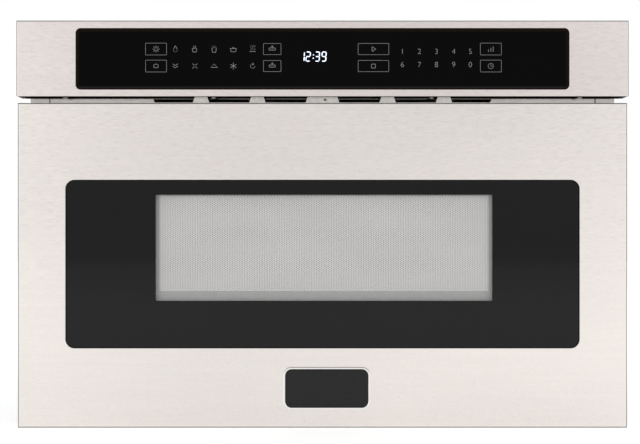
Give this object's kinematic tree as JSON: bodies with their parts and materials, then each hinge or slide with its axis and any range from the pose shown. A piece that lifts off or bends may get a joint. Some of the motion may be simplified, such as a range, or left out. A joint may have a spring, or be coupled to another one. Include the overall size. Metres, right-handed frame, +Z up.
{
  "type": "microwave drawer",
  "caption": "Built-in drawer microwave: black touch-glass control panel over a stainless drawer front with a flush window; a motor rolls the tray out on telescopic slides.",
  "frame": {"origin": "on the level of the drawer front's lower edge, in the middle of the overall width and depth", "axes": "+X to the right and +Y to the back as seen from the front, +Z up; the drawer opens towards -Y"},
  "size_m": [0.6064, 0.5956, 0.4032],
  "materials": {
    "brushed_stainless": "horizontal brushed grain",
    "frame_steel": "plain bright sheet",
    "galvanised_steel": "zinc coated sheet, slightly mottled",
    "cavity_paint": "light grey enamel",
    "screen_paint": "light grey perforated sheet",
    "control_glass": "gloss black with grey key print",
    "door_glass": "gloss, black border and clear window",
    "clear_glass": "clear",
    "dark_bezel": "dark line round the glass",
    "black_plastic": "fine matt",
    "seal_rubber": "matt",
    "badge_rim": "polished raised rim",
    "badge_face": "plain black",
    "ceramic": "smooth light ceramic",
    "mica": "light mica",
    "circuit_board": "solder mask with parts",
    "cable_grey": "flat cable jacket",
    "zinc_steel": "bright zinc",
    "hard_steel": "balls in a zinc cage",
    "nylon": "natural nylon",
    "magnetron_metal": "finned yoke",
    "core_iron": "varnished iron and copper",
    "can_metal": "drawn can",
    "lamp_box": "folded sheet with bulb",
    "plunger_red": "moulded"
  },
  "bodies": {
    "chassis": {"front_frame": "frame_steel", "base_pan": "galvanised_steel", "outer_wrapper": "galvanised_steel", "rear_cover": "galvanised_steel", "cavity_supports": "galvanised_steel", "cavity_box": "cavity_paint", "stirrer_cover": "mica", "cavity_lamp": "lamp_box", "thermal_cutout": "lamp_box", "cord_bushing": "black_plastic", "noise_filter": "circuit_board", "slide_brackets": "galvanised_steel", "chassis_screws": "zinc_steel", "waveguide": "galvanised_steel", "magnetron": "magnetron_metal", "hv_transformer": "core_iron", "hv_capacitor": "can_metal", "stirrer_motor": "can_metal", "fan_housing": "black_plastic", "exhaust_duct": "galvanised_steel", "vent_louver": "frame_steel", "control_fascia": "brushed_stainless", "control_bezel": "dark_bezel", "control_glass": "control_glass", "control_housing": "black_plastic", "control_board": "circuit_board", "power_board": "circuit_board", "ribbon_cable": "cable_grey", "slide_outer_members": "zinc_steel", "shaft_bushes": "nylon", "gear_motor": "can_metal", "interlock_switches": "black_plastic"},
    "drawer": {"drawer_fascia": "brushed_stainless", "drawer_glass": "door_glass", "glass_holder": "black_plastic", "door_screen": "screen_paint", "drawer_frame": "galvanised_steel", "inner_window": "clear_glass", "choke_cover": "black_plastic", "door_gasket": "seal_rubber", "badge_frame": "badge_rim", "badge_plate": "badge_face", "tray": "cavity_paint", "ceramic_floor": "ceramic", "tray_glides": "black_plastic", "drawer_screws": "zinc_steel", "latch_hooks": "black_plastic", "slide_inner_members": "zinc_steel", "racks": "nylon"},
    "slide_middles": {"slide_middle_members": "zinc_steel"},
    "outer_ball_cages": {"ball_cages_outer": "hard_steel"},
    "inner_ball_cages": {"ball_cages_inner": "hard_steel"},
    "cross_shaft": {"drive_shaft": "zinc_steel", "shaft_gears": "nylon"},
    "motor_pinion": {"motor_gear": "nylon"},
    "fan_rotor": {"fan_impeller": "black_plastic"},
    "stirrer_rotor": {"stirrer": "zinc_steel"},
    "primary_switch_plunger": {"primary_plunger": "plunger_red"},
    "secondary_switch_plunger": {"secondary_plunger": "plunger_red"},
    "monitor_switch_plunger": {"monitor_plunger": "plunger_red"}
  },
  "joints": [
    {"name": "drawer_slide", "type": "slide", "parent": "chassis", "child": "drawer", "axis": [0, -1, 0], "range_m": [0, 0.381]},
    {"name": "slide_middle_travel", "type": "slide", "parent": "chassis", "child": "slide_middles", "axis": [0, -1, 0], "range_m": [0, 0.1905]},
    {"name": "outer_cage_travel", "type": "slide", "parent": "chassis", "child": "outer_ball_cages", "axis": [0, -1, 0], "range_m": [0, 0.09525]},
    {"name": "inner_cage_travel", "type": "slide", "parent": "chassis", "child": "inner_ball_cages", "axis": [0, -1, 0], "range_m": [0, 0.28575]},
    {"name": "cross_shaft_turn", "type": "hinge", "parent": "chassis", "child": "cross_shaft", "pos_m": [0, -0.2252, 0.06], "axis": [1, 0, 0], "continuous": true},
    {"name": "motor_gear_turn", "type": "hinge", "parent": "chassis", "child": "motor_pinion", "pos_m": [0.104, -0.19308, 0.06], "axis": [1, 0, 0], "continuous": true},
    {"name": "fan_turn", "type": "hinge", "parent": "chassis", "child": "fan_rotor", "pos_m": [-0.14, 0.2568, 0.242], "axis": [0, 1, 0], "continuous": true},
    {"name": "stirrer_turn", "type": "hinge", "parent": "chassis", "child": "stirrer_rotor", "pos_m": [0, -0.045, 0.326], "axis": [0, 0, 1], "continuous": true},
    {"name": "primary_plunger_press", "type": "slide", "parent": "chassis", "child": "primary_switch_plunger", "axis": [0, 1, 0], "range_m": [0, 0.0015], "stiffness_N_per_m": 250, "springref_m": -0.001},
    {"name": "secondary_plunger_press", "type": "slide", "parent": "chassis", "child": "secondary_switch_plunger", "axis": [0, 1, 0], "range_m": [0, 0.0015], "stiffness_N_per_m": 250, "springref_m": -0.001},
    {"name": "monitor_plunger_press", "type": "slide", "parent": "chassis", "child": "monitor_switch_plunger", "axis": [0, 1, 0], "range_m": [0, 0.0015], "stiffness_N_per_m": 250, "springref_m": -0.001}
  ],
  "couplings": [
    {"joint": "slide_middle_travel", "follows": "drawer_slide", "ratio": 0.5},
    {"joint": "outer_cage_travel", "follows": "drawer_slide", "ratio": 0.25},
    {"joint": "inner_cage_travel", "follows": "drawer_slide", "ratio": 0.75},
    {"joint": "cross_shaft_turn", "follows": "drawer_slide", "rad_per_m": 74.074},
    {"joint": "motor_gear_turn", "follows": "drawer_slide", "rad_per_m": -222.22}
  ]
}
